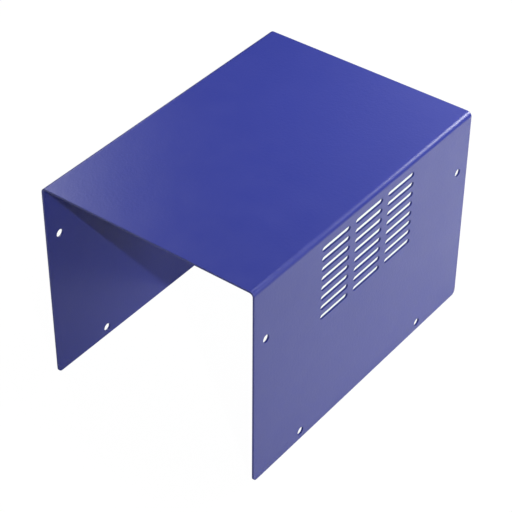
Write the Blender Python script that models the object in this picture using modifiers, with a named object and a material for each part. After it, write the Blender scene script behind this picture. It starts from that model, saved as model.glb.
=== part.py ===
"""Folded sheet-metal cover of a small bench instrument.

The whole object is one sheet, bent twice into an upside-down U: a flat top and two side
flanges, open at the front, at the back and below. Both flanges have clearance holes for the
screws that hold the cover to its chassis, and the right flange has a field of vent slots.

Metres, +Z up, front towards -Y, right flange at +X. The origin is on the plane of the
flanges' bottom edges, under the middle of the top.
"""

import math

import bmesh
import bpy
from mathutils import Matrix

# The sheet and its folds
SHEET = 0.0012                  # thickness, coating included
INSIDE_WIDTH = 0.140            # between the flanges
DEPTH = 0.200                   # front edge to back edge
HEIGHT = 0.1324                 # bottom edges to the top's outer face
INSIDE_BEND_RADIUS = 0.0020
FREE_CORNER_RADIUS = 0.0030     # the bottom corners of both flanges

# Screw holes, alike on both flanges and mirrored from front to back
SCREW_HOLE_DIAMETER = 0.0050
UPPER_HOLE_INSET = 0.0100       # from the front or back edge
UPPER_HOLE_DROP = 0.0365        # below the top
LOWER_HOLE_INSET = 0.0423       # from the front or back edge
LOWER_HOLE_RISE = 0.0055        # above the bottom edge

# Vent slots, on the right flange only, centred between front and back
SLOT_LENGTH = 0.0250
SLOT_HEIGHT = 0.0032
SLOT_COLUMNS = 3
SLOT_ROWS = 8
COLUMN_PITCH = 0.0300
VENT_HEIGHT = 0.0460            # centre line of the first row to that of the last
VENT_DROP = 0.0324              # middle of the vent field, below the top

# Facets
BEND_SEGMENTS = 8
CORNER_SEGMENTS = 6
HOLE_SEGMENTS = 24
SLOT_END_SEGMENTS = 6           # in each quarter of a slot's round ends

OUTSIDE_WIDTH = INSIDE_WIDTH + 2 * SHEET
OUTSIDE_BEND_RADIUS = INSIDE_BEND_RADIUS + SHEET
ROW_PITCH = VENT_HEIGHT / (SLOT_ROWS - 1)
CUTTER_OVERRUN = 0.0020         # how far a cutter stands out past the metal
WELD_DISTANCE = 0.000001

COATING_COLOUR = (0.053, 0.060, 0.340, 1.0)
COATING_ROUGHNESS = 0.40


def clear_scene():
    for old in list(bpy.data.objects):
        bpy.data.objects.remove(old, do_unlink=True)


def new_collection(name):
    collection = bpy.data.collections.new(name)
    bpy.context.scene.collection.children.link(collection)
    return collection


def mesh_from(bm, name):
    mesh = bpy.data.meshes.new(name)
    bm.to_mesh(mesh)
    bm.free()
    return mesh


def add_object(name, mesh, collection, location=(0.0, 0.0, 0.0)):
    obj = bpy.data.objects.new(name, mesh)
    obj.location = location
    collection.objects.link(obj)
    return obj


def powder_coat():
    """Blue semi-gloss powder coat over steel."""
    material = bpy.data.materials.new("blue_powder_coat")
    material.use_nodes = True
    shader = material.node_tree.nodes["Principled BSDF"]
    shader.inputs["Base Color"].default_value = COATING_COLOUR
    shader.inputs["Roughness"].default_value = COATING_ROUGHNESS
    shader.inputs["Metallic"].default_value = 0.0
    return material


def folded_surface():
    """Outer surface of the cover: a box open in front, behind and below, its folds rounded."""
    bm = bmesh.new()
    bmesh.ops.create_cube(bm, size=1.0)
    bmesh.ops.scale(bm, vec=(OUTSIDE_WIDTH, DEPTH, HEIGHT), verts=bm.verts)
    bmesh.ops.translate(bm, vec=(0.0, 0.0, HEIGHT / 2), verts=bm.verts)
    bm.normal_update()
    open_sides = [face for face in bm.faces if abs(face.normal.y) > 0.5 or face.normal.z < -0.5]
    bmesh.ops.delete(bm, geom=open_sides, context="FACES")

    folds = [edge for edge in bm.edges if not edge.is_boundary]
    bends = bmesh.ops.bevel(bm, geom=folds, offset=OUTSIDE_BEND_RADIUS, offset_type="OFFSET",
                            segments=BEND_SEGMENTS, profile=0.5, affect="EDGES")
    for face in bends["faces"]:
        face.smooth = True

    free_corners = [vert for vert in bm.verts if vert.co.z < WELD_DISTANCE]
    bmesh.ops.bevel(bm, geom=free_corners, offset=FREE_CORNER_RADIUS, offset_type="OFFSET",
                    segments=CORNER_SEGMENTS, profile=0.5, affect="VERTICES")
    return mesh_from(bm, "folded_cover")


def across(bm):
    """Turns a shape made along Z to lie along X, through the flanges."""
    bmesh.ops.rotate(bm, matrix=Matrix.Rotation(math.radians(90), 3, "Y"), verts=bm.verts)


def screw_hole_cutter():
    """A rod that reaches through both flanges."""
    bm = bmesh.new()
    radius = SCREW_HOLE_DIAMETER / 2
    bmesh.ops.create_cone(bm, cap_ends=True, segments=HOLE_SEGMENTS, radius1=radius,
                          radius2=radius, depth=OUTSIDE_WIDTH + 2 * CUTTER_OVERRUN)
    across(bm)
    mesh = mesh_from(bm, "screw_hole_cutter")
    mesh.shade_smooth()
    return mesh


def slot_cutter():
    """A bar through one flange, its long corners rounded until its ends are half circles."""
    bm = bmesh.new()
    bmesh.ops.create_cube(bm, size=1.0)
    through = SHEET + 2 * CUTTER_OVERRUN
    bmesh.ops.scale(bm, vec=(through, SLOT_LENGTH, SLOT_HEIGHT), verts=bm.verts)
    long_corners = [edge for edge in bm.edges
                    if abs(edge.verts[0].co.x - edge.verts[1].co.x) > SHEET]
    bmesh.ops.bevel(bm, geom=long_corners, offset=SLOT_HEIGHT / 2, offset_type="OFFSET",
                    segments=SLOT_END_SEGMENTS, profile=0.5, affect="EDGES")
    bmesh.ops.remove_doubles(bm, verts=bm.verts, dist=WELD_DISTANCE)
    mesh = mesh_from(bm, "slot_cutter")
    mesh.shade_smooth()
    return mesh


def add_screw_hole_cutters(collection):
    mesh = screw_hole_cutter()
    rows = (
        ("upper", UPPER_HOLE_INSET, HEIGHT - UPPER_HOLE_DROP),
        ("lower", LOWER_HOLE_INSET, LOWER_HOLE_RISE),
    )
    for row, inset, height in rows:
        for end, side in (("front", -1), ("back", 1)):
            location = (0.0, side * (DEPTH / 2 - inset), height)
            add_object(f"{row}_{end}_hole_cutter", mesh, collection, location)


def add_slot_cutters(collection):
    mesh = slot_cutter()
    middle_of_flange = (OUTSIDE_WIDTH - SHEET) / 2
    for column in range(SLOT_COLUMNS):
        along = (column - (SLOT_COLUMNS - 1) / 2) * COLUMN_PITCH
        for row in range(SLOT_ROWS):
            height = HEIGHT - VENT_DROP + VENT_HEIGHT / 2 - row * ROW_PITCH
            location = (middle_of_flange, along, height)
            add_object(f"slot_cutter_{column + 1}_{row + 1}", mesh, collection, location)


def hide_cutters(collection):
    for cutter in collection.objects:
        cutter.hide_render = True
        cutter.display_type = "WIRE"


def add_folded_cover(collection, cutters):
    cover = add_object("folded_cover", folded_surface(), collection)
    cover.data.materials.append(powder_coat())

    thickness = cover.modifiers.new("sheet_thickness", "SOLIDIFY")
    thickness.thickness = SHEET
    thickness.offset = -1.0
    thickness.use_even_offset = True

    cutouts = cover.modifiers.new("cutouts", "BOOLEAN")
    cutouts.operation = "DIFFERENCE"
    cutouts.solver = "EXACT"
    cutouts.operand_type = "COLLECTION"
    cutouts.collection = cutters
    return cover


def main():
    clear_scene()
    parts = new_collection("instrument_cover")
    cutters = new_collection("cutters")
    add_screw_hole_cutters(cutters)
    add_slot_cutters(cutters)
    hide_cutters(cutters)
    add_folded_cover(parts, cutters)


main()
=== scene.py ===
"""Studio view of a folded sheet-metal instrument cover.

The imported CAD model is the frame. Its one node is replaced by a finer mesh of the same sheet,
made the way the real one is: a flat blank is cut and punched, its cut edges are rounded by the
coating, and it is folded twice into an upside-down U.

Metres, +Z up, front towards -Y, right flange at +X.
"""

import math

import bmesh
import bpy
from mathutils import Matrix, Vector
from mathutils.geometry import delaunay_2d_cdt


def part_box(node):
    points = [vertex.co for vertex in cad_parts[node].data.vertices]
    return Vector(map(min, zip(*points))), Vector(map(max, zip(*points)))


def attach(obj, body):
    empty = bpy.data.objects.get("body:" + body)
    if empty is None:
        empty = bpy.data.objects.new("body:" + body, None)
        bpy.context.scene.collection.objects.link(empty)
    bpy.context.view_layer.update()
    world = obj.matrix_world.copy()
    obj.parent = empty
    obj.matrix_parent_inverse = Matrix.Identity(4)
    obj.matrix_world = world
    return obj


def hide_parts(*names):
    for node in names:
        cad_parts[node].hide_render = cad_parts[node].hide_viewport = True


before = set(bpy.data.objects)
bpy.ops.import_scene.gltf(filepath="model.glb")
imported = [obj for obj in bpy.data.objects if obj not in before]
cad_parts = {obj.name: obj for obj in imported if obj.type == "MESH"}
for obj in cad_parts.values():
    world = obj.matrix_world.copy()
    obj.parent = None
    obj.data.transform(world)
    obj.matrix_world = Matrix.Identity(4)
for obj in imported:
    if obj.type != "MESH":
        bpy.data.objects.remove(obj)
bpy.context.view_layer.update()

# The sheet. Its outer size comes from the frame, the rest repeats the CAD's own dimensions.
BOX_LOW, BOX_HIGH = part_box("folded_cover")
WIDTH = BOX_HIGH.x - BOX_LOW.x
DEPTH = BOX_HIGH.y - BOX_LOW.y
HEIGHT = BOX_HIGH.z - BOX_LOW.z
SHEET = 0.0012
OUTSIDE_BEND_RADIUS = 0.0032
FREE_CORNER_RADIUS = 0.0030
COATED_EDGE_RADIUS = 0.00012    # of the coating over the cut edges

SCREW_HOLE_DIAMETER = 0.0050
UPPER_HOLE_INSET = 0.0100
UPPER_HOLE_DROP = 0.0365
LOWER_HOLE_INSET = 0.0423
LOWER_HOLE_RISE = 0.0055

SLOT_LENGTH = 0.0250
SLOT_HEIGHT = 0.0032
SLOT_COLUMNS = 3
SLOT_ROWS = 8
COLUMN_PITCH = 0.0300
VENT_HEIGHT = 0.0460
VENT_DROP = 0.0324

# Facets of the fine mesh
BEND_STEPS = 24
CORNER_STEPS = 12
HOLE_QUARTER_STEPS = 16
SLOT_QUARTER_STEPS = 10
EDGE_STEPS = 3
SAME_POINT = 1e-7               # points closer than this are one point

# The flat faces are filled in millimetres, for accuracy
MILLIMETRES = 1000
SAME_POINT_ON_FACE = 1e-6
INSIDE_OUTLINES = 1             # the fill keeps the triangles inside an outline

# The blank, in U across the folds and V from front to back, measured on the outer face
HALF_TOP = WIDTH / 2 - OUTSIDE_BEND_RADIUS
BEND_LENGTH = OUTSIDE_BEND_RADIUS * math.pi / 2
HALF_BLANK = HALF_TOP + BEND_LENGTH + HEIGHT - OUTSIDE_BEND_RADIUS

# The powder coat: its shade and gloss drift slowly, and a fine orange peel lies on a low swell
COAT_DARK = (0.0340, 0.0455, 0.2900, 1.0)
COAT_LIGHT = (0.0376, 0.0495, 0.3080, 1.0)
COAT_ROUGHNESS = (0.285, 0.335)
COAT_IOR = 1.6
SWELL_HEIGHT = 0.000030
PEEL_HEIGHT = 0.000060

# Its noises: scale and detail
SHADE_NOISE = (25.0, 3.0)
GLOSS_NOISE = (60.0, 4.0)
SWELL_NOISE = (180.0, 2.0)
PEEL_NOISE = (700.0, 2.0)
NOISE_MIDDLE = (0.3, 0.7)       # where most of a noise's values lie

# The studio
FLOOR_SIZE = 40.0
FLOOR_DROP = 0.0001             # below the object
FLOOR_COLOUR = (0.88, 0.88, 0.88, 1.0)
SWEEP_STRENGTH = 1.02           # of the even white that the camera sees
SWEEP_SHARE = 0.97              # how much of the floor the camera sees as that white
WHITE = (1.0, 1.0, 1.0, 1.0)

# Light panels round the object: name, azimuth, elevation, distance, width, height, and
# radiance, where a white card in full light has 1
PANELS = (
    ("key_light", 52.4, 38.0, 2.29, 0.04, 0.04, 3930.0),
    ("overhead_panel", 120.0, 78.0, 0.5, 0.12, 0.14, 18.3),
    ("back_panel", 160.0, 30.0, 0.5, 0.18, 0.16, 14.2),
    ("right_back_panel", 140.0, 30.0, 0.5, 0.15, 0.14, 1.5),
    ("right_panel", 100.0, 30.0, 0.5, 0.15, 0.14, 6.2),
    ("high_left_panel", 260.0, 46.0, 0.5, 0.12, 0.14, 8.6),
    ("left_panel", 240.0, 30.0, 0.9, 0.27, 0.25, 2.0),
    ("far_panel", 200.0, 30.0, 1.6, 0.49, 0.45, 0.85),
)

# The view
CAMERA_AZIMUTH = 37.36
CAMERA_ELEVATION = 38.92
CAMERA_ROLL = 0.32
CAMERA_DISTANCE = 1.0
CAMERA_LENS = 123.0
CAMERA_SENSOR = 36.0
CAMERA_CLIP = (0.05, 50.0)
AIM = Vector((-0.0028, -0.0020, 0.0571))


# ---------------------------------------------------------------- the folded sheet

def across_blank(drop):
    """U of a point on the right flange, at a distance below the top's outer face."""
    return HALF_TOP + BEND_LENGTH + drop - OUTSIDE_BEND_RADIUS


def rounded_outline(centre, size, radius, grow, quarter_steps):
    """Points round a rectangle with round corners, grown on every side by an amount."""
    half_u = size[0] / 2 - radius
    half_v = size[1] / 2 - radius
    points = []
    for corner, (side_u, side_v) in enumerate(((1, 1), (-1, 1), (-1, -1), (1, -1))):
        for step in range(quarter_steps + 1):
            angle = math.radians(90 * (corner + step / quarter_steps))
            u = centre[0] + side_u * half_u + (radius + grow) * math.cos(angle)
            v = centre[1] + side_v * half_v + (radius + grow) * math.sin(angle)
            points.append((u, v))
    return points


def edge_section():
    """Section of a cut edge from the outer face to the inner one: (inset, depth) pairs."""
    corner = []
    for step in range(EDGE_STEPS + 1):
        angle = math.radians(90 * step / EDGE_STEPS)
        inset = COATED_EDGE_RADIUS * (1 - math.sin(angle))
        depth = COATED_EDGE_RADIUS * (1 - math.cos(angle))
        corner.append((inset, depth))
    return corner + [(inset, SHEET - depth) for inset, depth in reversed(corner)]


def add_edge(bm, centre, size, radius, quarter_steps, into_metal):
    """Adds one cut edge as rings of faces; into_metal is 1 round a hole, -1 round the blank."""
    rings = []
    for inset, depth in edge_section():
        grow = into_metal * inset
        outline = rounded_outline(centre, size, radius, grow, quarter_steps)
        rings.append([bm.verts.new((u, v, -depth)) for u, v in outline])
    count = len(rings[0])
    for upper, lower in zip(rings, rings[1:]):
        for here in range(count):
            after = (here + 1) % count
            bm.faces.new((upper[here], upper[after], lower[after], lower[here]))
    return rings[0], rings[-1]


def fill_flat(bm, rims):
    """Fills the flat face inside the first rim, the blank's, and outside the others."""
    verts, loops = [], []
    for rim in rims:
        loops.append(list(range(len(verts), len(verts) + len(rim))))
        verts.extend(rim)
    points = [vert.co.xy * MILLIMETRES for vert in verts]
    _, _, triangles, sources, _, owners = delaunay_2d_cdt(
        points, [], loops, INSIDE_OUTLINES, SAME_POINT_ON_FACE)
    for triangle, owner in zip(triangles, owners):
        if owner == [0]:
            bm.faces.new([verts[sources[corner][0]] for corner in triangle])


def cut_edges():
    """Every cut edge of the blank: (centre, size, corner radius, steps, into_metal)."""
    yield (0, 0), (2 * HALF_BLANK, DEPTH), FREE_CORNER_RADIUS, CORNER_STEPS, -1

    hole = (SCREW_HOLE_DIAMETER, SCREW_HOLE_DIAMETER)
    rows = (
        (across_blank(UPPER_HOLE_DROP), DEPTH / 2 - UPPER_HOLE_INSET),
        (across_blank(HEIGHT - LOWER_HOLE_RISE), DEPTH / 2 - LOWER_HOLE_INSET),
    )
    for u, v in rows:
        for side in (-1, 1):
            for end in (-1, 1):
                yield (side * u, end * v), hole, hole[0] / 2, HOLE_QUARTER_STEPS, 1

    for column in range(SLOT_COLUMNS):
        v = (column - (SLOT_COLUMNS - 1) / 2) * COLUMN_PITCH
        for row in range(SLOT_ROWS):
            drop = VENT_DROP + VENT_HEIGHT * (row / (SLOT_ROWS - 1) - 0.5)
            centre = (across_blank(drop), v)
            yield centre, (SLOT_HEIGHT, SLOT_LENGTH), SLOT_HEIGHT / 2, SLOT_QUARTER_STEPS, 1


def punched_blank():
    """The flat sheet with its holes, a closed solid with its outer face at zero height."""
    bm = bmesh.new()
    outer_rims, inner_rims = [], []
    for centre, size, radius, steps, into_metal in cut_edges():
        outer, inner = add_edge(bm, centre, size, radius, steps, into_metal)
        outer_rims.append(outer)
        inner_rims.append(inner)
    fill_flat(bm, outer_rims)
    fill_flat(bm, inner_rims)
    bmesh.ops.remove_doubles(bm, verts=bm.verts, dist=SAME_POINT)
    return bm


def score_bends(bm):
    """Cuts the blank's faces along lines across both bends, so that they can follow them."""
    for side in (-1, 1):
        for step in range(BEND_STEPS + 1):
            u = side * (HALF_TOP + BEND_LENGTH * step / BEND_STEPS)
            everything = bm.verts[:] + bm.edges[:] + bm.faces[:]
            bmesh.ops.bisect_plane(bm, geom=everything, dist=SAME_POINT,
                                   plane_co=(u, 0, 0), plane_no=(1, 0, 0))


def folded(point):
    """Where a point of the flat blank lies once the flanges are folded down."""
    side = math.copysign(1, point.x)
    past_top = abs(point.x) - HALF_TOP
    if past_top <= 0:
        return Vector((point.x, point.y, HEIGHT + point.z))
    turn = min(past_top, BEND_LENGTH) / OUTSIDE_BEND_RADIUS
    radius = OUTSIDE_BEND_RADIUS + point.z
    x = HALF_TOP + radius * math.sin(turn)
    z = HEIGHT - OUTSIDE_BEND_RADIUS + radius * math.cos(turn)
    z -= max(past_top - BEND_LENGTH, 0)
    return Vector((side * x, point.y, z))


def turned(normal, point):
    """A normal of the flat blank at a point, once the flanges are folded down."""
    side = math.copysign(1, point.x)
    past_top = max(abs(point.x) - HALF_TOP, 0)
    turn = min(past_top, BEND_LENGTH) / OUTSIDE_BEND_RADIUS
    return Matrix.Rotation(side * turn, 3, "Y") @ normal


def area_normal(vert):
    """The mean normal of a vertex's faces by area, so that flat faces stay flat."""
    total = Vector((0, 0, 0))
    for face in vert.link_faces:
        total += face.normal * face.calc_area()
    return total.normalized()


def make_cover(material):
    """The blank, folded; its normals are folded with it, so that the bends shade evenly."""
    bm = punched_blank()
    score_bends(bm)
    bmesh.ops.recalc_face_normals(bm, faces=bm.faces)
    bm.normal_update()
    normals = [turned(area_normal(vert), vert.co) for vert in bm.verts]
    for vert in bm.verts:
        vert.co = folded(vert.co)
    mesh = bpy.data.meshes.new("blue_cover")
    bm.to_mesh(mesh)
    bm.free()
    mesh.shade_smooth()
    mesh.normals_split_custom_set_from_vertices(normals)
    mesh.materials.append(material)
    cover = bpy.data.objects.new("blue_cover", mesh)
    bpy.context.scene.collection.objects.link(cover)
    return cover


# ---------------------------------------------------------------- materials

def new_material(name):
    material = bpy.data.materials.new(name)
    material.use_nodes = True
    nodes = material.node_tree.nodes
    nodes.clear()
    return material, nodes, material.node_tree.links


def noise(nodes, links, coordinates, scale, detail):
    texture = nodes.new("ShaderNodeTexNoise")
    texture.inputs["Scale"].default_value = scale
    texture.inputs["Detail"].default_value = detail
    links.new(coordinates, texture.inputs["Vector"])
    return texture.outputs["Fac"]


def remap(nodes, links, value, low, high):
    """Stretches the middle of a noise to run from low to high."""
    node = nodes.new("ShaderNodeMapRange")
    node.inputs["From Min"].default_value = NOISE_MIDDLE[0]
    node.inputs["From Max"].default_value = NOISE_MIDDLE[1]
    node.inputs["To Min"].default_value = low
    node.inputs["To Max"].default_value = high
    links.new(value, node.inputs["Value"])
    return node.outputs["Result"]


def bump(nodes, links, height, distance, normal=None):
    node = nodes.new("ShaderNodeBump")
    node.inputs["Strength"].default_value = 1.0
    node.inputs["Distance"].default_value = distance
    links.new(height, node.inputs["Height"])
    if normal is not None:
        links.new(normal, node.inputs["Normal"])
    return node.outputs["Normal"]


def powder_coat():
    """Blue-violet semi-gloss powder coat with a fine orange peel."""
    material, nodes, links = new_material("blue_powder_coat")
    shader = nodes.new("ShaderNodeBsdfPrincipled")
    output = nodes.new("ShaderNodeOutputMaterial")
    links.new(shader.outputs["BSDF"], output.inputs["Surface"])
    place = nodes.new("ShaderNodeTexCoord").outputs["Object"]

    shade = nodes.new("ShaderNodeMix")
    shade.data_type = "RGBA"
    shade.inputs["A"].default_value = COAT_DARK
    shade.inputs["B"].default_value = COAT_LIGHT
    links.new(noise(nodes, links, place, *SHADE_NOISE), shade.inputs["Factor"])
    links.new(shade.outputs["Result"], shader.inputs["Base Color"])

    gloss = noise(nodes, links, place, *GLOSS_NOISE)
    links.new(remap(nodes, links, gloss, *COAT_ROUGHNESS), shader.inputs["Roughness"])
    shader.inputs["IOR"].default_value = COAT_IOR

    swell_noise = noise(nodes, links, place, *SWELL_NOISE)
    peel_noise = noise(nodes, links, place, *PEEL_NOISE)
    swell = bump(nodes, links, swell_noise, SWELL_HEIGHT)
    peel = bump(nodes, links, peel_noise, PEEL_HEIGHT, swell)
    links.new(peel, shader.inputs["Normal"])
    return material


def floor_white():
    """White card, seen by the camera as evenly bright as a studio sweep."""
    material, nodes, links = new_material("floor_white")
    card = nodes.new("ShaderNodeBsdfDiffuse")
    card.inputs["Color"].default_value = FLOOR_COLOUR
    bright = nodes.new("ShaderNodeEmission")
    bright.inputs["Strength"].default_value = SWEEP_STRENGTH
    seen = nodes.new("ShaderNodeLightPath").outputs["Is Camera Ray"]
    share = nodes.new("ShaderNodeMath")
    share.operation = "MULTIPLY"
    share.inputs[1].default_value = SWEEP_SHARE
    both = nodes.new("ShaderNodeMixShader")
    output = nodes.new("ShaderNodeOutputMaterial")
    links.new(seen, share.inputs[0])
    links.new(share.outputs[0], both.inputs["Fac"])
    links.new(card.outputs["BSDF"], both.inputs[1])
    links.new(bright.outputs["Emission"], both.inputs[2])
    links.new(both.outputs["Shader"], output.inputs["Surface"])
    return material


# ---------------------------------------------------------------- studio

def direction(azimuth, elevation):
    """Unit vector from the object; azimuth 0 is the front and 90 the right side."""
    a, e = math.radians(azimuth), math.radians(elevation)
    return Vector((math.sin(a) * math.cos(e), -math.cos(a) * math.cos(e), math.sin(e)))


def add_floor():
    bpy.ops.mesh.primitive_plane_add(size=FLOOR_SIZE, location=(0, 0, BOX_LOW.z - FLOOR_DROP))
    floor = bpy.context.object
    floor.name = "floor"
    floor.data.materials.append(floor_white())


def add_panel(name, azimuth, elevation, distance, width, height, radiance):
    """A soft panel that faces the object, of a radiance given where a lit white card is 1."""
    light = bpy.data.lights.new(name, "AREA")
    light.shape = "RECTANGLE"
    light.size = width
    light.size_y = height
    light.energy = radiance * width * height * math.pi
    panel = bpy.data.objects.new(name, light)
    towards = direction(azimuth, elevation)
    panel.location = towards * distance + Vector((0, 0, HEIGHT / 2))
    panel.rotation_euler = towards.to_track_quat("Z", "Y").to_euler()
    panel.visible_camera = False
    bpy.context.scene.collection.objects.link(panel)


def add_lights():
    for panel in PANELS:
        add_panel(*panel)


def add_background():
    """White where the camera sees it, and no light of its own."""
    world = bpy.data.worlds.new("studio")
    bpy.context.scene.world = world
    world.use_nodes = True
    nodes = world.node_tree.nodes
    background = nodes["Background"]
    background.inputs["Color"].default_value = WHITE
    seen = nodes.new("ShaderNodeLightPath").outputs["Is Camera Ray"]
    world.node_tree.links.new(seen, background.inputs["Strength"])


def add_camera():
    data = bpy.data.cameras.new("camera")
    data.lens = CAMERA_LENS
    data.sensor_width = CAMERA_SENSOR
    data.clip_start, data.clip_end = CAMERA_CLIP
    camera = bpy.data.objects.new("camera", data)
    bpy.context.scene.collection.objects.link(camera)
    back = direction(CAMERA_AZIMUTH, CAMERA_ELEVATION)
    roll = Matrix.Rotation(math.radians(CAMERA_ROLL), 4, "Z")
    camera.matrix_world = (Matrix.Translation(AIM + back * CAMERA_DISTANCE)
                           @ back.to_track_quat("Z", "Y").to_matrix().to_4x4() @ roll)
    bpy.context.scene.camera = camera


def main():
    bpy.context.scene.view_settings.view_transform = "Standard"
    add_camera()
    add_floor()
    add_lights()
    add_background()
    cover = make_cover(powder_coat())
    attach(cover, "root")
    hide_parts("folded_cover")


main()
